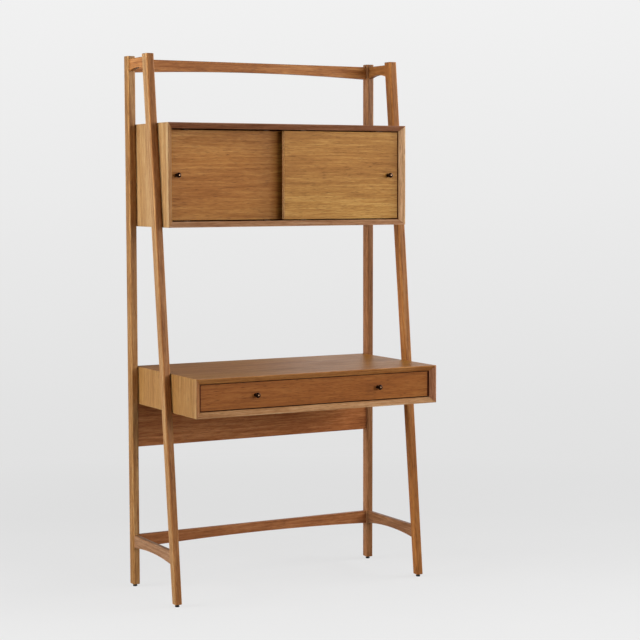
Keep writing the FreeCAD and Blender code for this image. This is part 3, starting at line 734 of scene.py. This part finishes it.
def floor_tones(paint):
    """The floor's tone follows the reciprocal of the distance ahead of where the photograph was taken."""
    heading = math.radians(CAMERA_YAW)
    ahead = (-math.sin(heading), math.cos(heading), 0.0)
    start = ahead[0] * CAMERA_PLACE[0] + ahead[1] * CAMERA_PLACE[1]
    along = paint.vectors("DOT_PRODUCT", paint.place(), ahead, result="Value")
    nearest = FLOOR_TONES[0][0]
    distance = paint.reckon("MAXIMUM", paint.times(along, 1.0, -start), nearest)
    nearness = paint.reckon("DIVIDE", nearest, distance)
    return paint.ramp(nearness, [(nearest / metres, grey(level)) for metres, level in reversed(FLOOR_TONES)])


def floor_paint():
    """The pale floor as it is seen, mixed near the object with matt paint, and as it lights the object."""
    paint = Finish("floor_paint")
    place = paint.place()
    strength = glossy_share(paint, paint.rise(paint.part(place, "Y"), *FLOOR_PASSAGE))
    glow = {"Color": floor_tones(paint), "Strength": strength}
    backdrop = paint.add("ShaderNodeEmission", glow).outputs[0]
    grain = paint.ramp(paint.noise(place, detail=3.0, scale=3.0), [(0.3, grey(228)), (0.7, grey(232))])
    matt = paint.add("ShaderNodeBsdfDiffuse", {"Color": grain}).outputs[0]
    bounce = paint.add("ShaderNodeBsdfDiffuse", {"Color": FLOOR_BOUNCE}).outputs[0]
    away = paint.vectors("LENGTH", place, result="Value")
    share = paint.span(away, *FLOOR_SHADE_REACH, FLOOR_SHADE_SHARE, 0.0)
    shown = paint.add("ShaderNodeMixShader", {0: share, 1: backdrop, 2: matt}).outputs[0]
    whole = paint.add("ShaderNodeMixShader", {0: seen_directly(paint), 1: bounce, 2: shown}).outputs[0]
    paint.put(paint.tree.nodes["Material Output"], {"Surface": whole})
    paint.tree.nodes.remove(paint.shader)
    return paint.material


def pale_floor():
    """One flat square of floor."""
    corners = np.array([[-1, -1, 0], [1, -1, 0], [1, 1, 0], [-1, 1, 0]]) * FLOOR_REACH
    mesh = bpy.data.meshes.new("floor")
    mesh.from_pydata(corners.tolist(), [], [[0, 1, 2, 3]])
    mesh.materials.append(floor_paint())
    floor = bpy.data.objects.new("floor", mesh)
    bpy.context.scene.collection.objects.link(floor)


def pale_world():
    """An even soft light from all round, seen as the pale backdrop that lightens upwards."""
    world = bpy.data.worlds.new("studio")
    bpy.context.scene.world = world
    world.use_nodes = True
    room = Nodes(world.node_tree)
    around = room.tree.nodes["Background"]
    room.put(around, {"Color": (1, 1, 1, 1), "Strength": AMBIENT})
    direction = room.add("ShaderNodeTexCoord", {}).outputs["Generated"]
    tones = [(height, grey(level)) for height, level in BACKDROP_TONES]
    colour = room.ramp(room.part(direction, "Z"), tones)
    strength = glossy_share(room, room.rise(room.part(direction, "Y"), *RAY_PASSAGE))
    seen = room.add("ShaderNodeBackground", {"Color": colour, "Strength": strength}).outputs[0]
    inputs = {0: seen_directly(room), 1: around.outputs[0], 2: seen}
    whole = room.add("ShaderNodeMixShader", inputs).outputs[0]
    room.put(room.tree.nodes["World Output"], {"Surface": whole})


def lamp(name, place, size, watts, aim=LAMP_AIM, mirrored=True):
    """A square soft lamp at a place, turned to face another, and never seen by the camera itself. One that
    isn't mirrored gives light but no highlight on lacquer."""
    data = bpy.data.lights.new(name, "AREA")
    data.size = size
    data.energy = watts
    light = bpy.data.objects.new(name, data)
    light.location = place
    light.rotation_mode = "QUATERNION"
    light.rotation_quaternion = (Vector(aim) - Vector(place)).to_track_quat("-Z", "Y")
    light.visible_camera = False
    light.visible_glossy = mirrored
    bpy.context.scene.collection.objects.link(light)


def studio_lamps():
    lamp("left", (-5.5, 0.9, 1.2), size=3.6, watts=551, mirrored=False)
    lamp("left_behind", (-3.2, 5.5, 1.4), size=3.0, watts=12)
    lamp("right_behind", (3.5, 4.6, 1.45), size=2.0, watts=13, aim=(0.3, 0, 0.77))
    lamp("left_front_high", (-2.8, -2.2, 3.4), size=2.4, watts=21)
    lamp("right_front", (2.6, -3.7, 2.0), size=1.4, watts=49)
    lamp("right", (3.4, -1.1, 2.5), size=2.4, watts=120)
    lamp("front", (0.8, -4.6, 1.7), size=1.8, watts=70)


def photograph_camera():
    """The camera of the photograph: forward from yaw and pitch, then rolled about its own axis."""
    yaw, pitch, roll = (math.radians(angle) for angle in (CAMERA_YAW, CAMERA_PITCH, CAMERA_ROLL))
    forward = Vector((-math.sin(yaw) * math.cos(pitch), math.cos(yaw) * math.cos(pitch), -math.sin(pitch)))
    level = forward.cross(Vector(UP)).normalized()
    over = level.cross(forward)
    right = level * math.cos(roll) + over * math.sin(roll)
    up = over * math.cos(roll) - level * math.sin(roll)
    data = bpy.data.cameras.new("photograph")
    data.sensor_width = SENSOR_WIDTH
    data.lens = CAMERA_FOCAL * SENSOR_WIDTH / FRAME_PIXELS
    camera = bpy.data.objects.new("photograph", data)
    turn = Matrix((right, up, -forward)).transposed()
    camera.matrix_world = Matrix.Translation(CAMERA_PLACE) @ turn.to_4x4()
    bpy.context.scene.collection.objects.link(camera)
    bpy.context.scene.camera = camera


dress_all()
fit_screws()
pale_floor()
pale_world()
studio_lamps()
photograph_camera()
bpy.context.scene.view_settings.view_transform = "Standard"
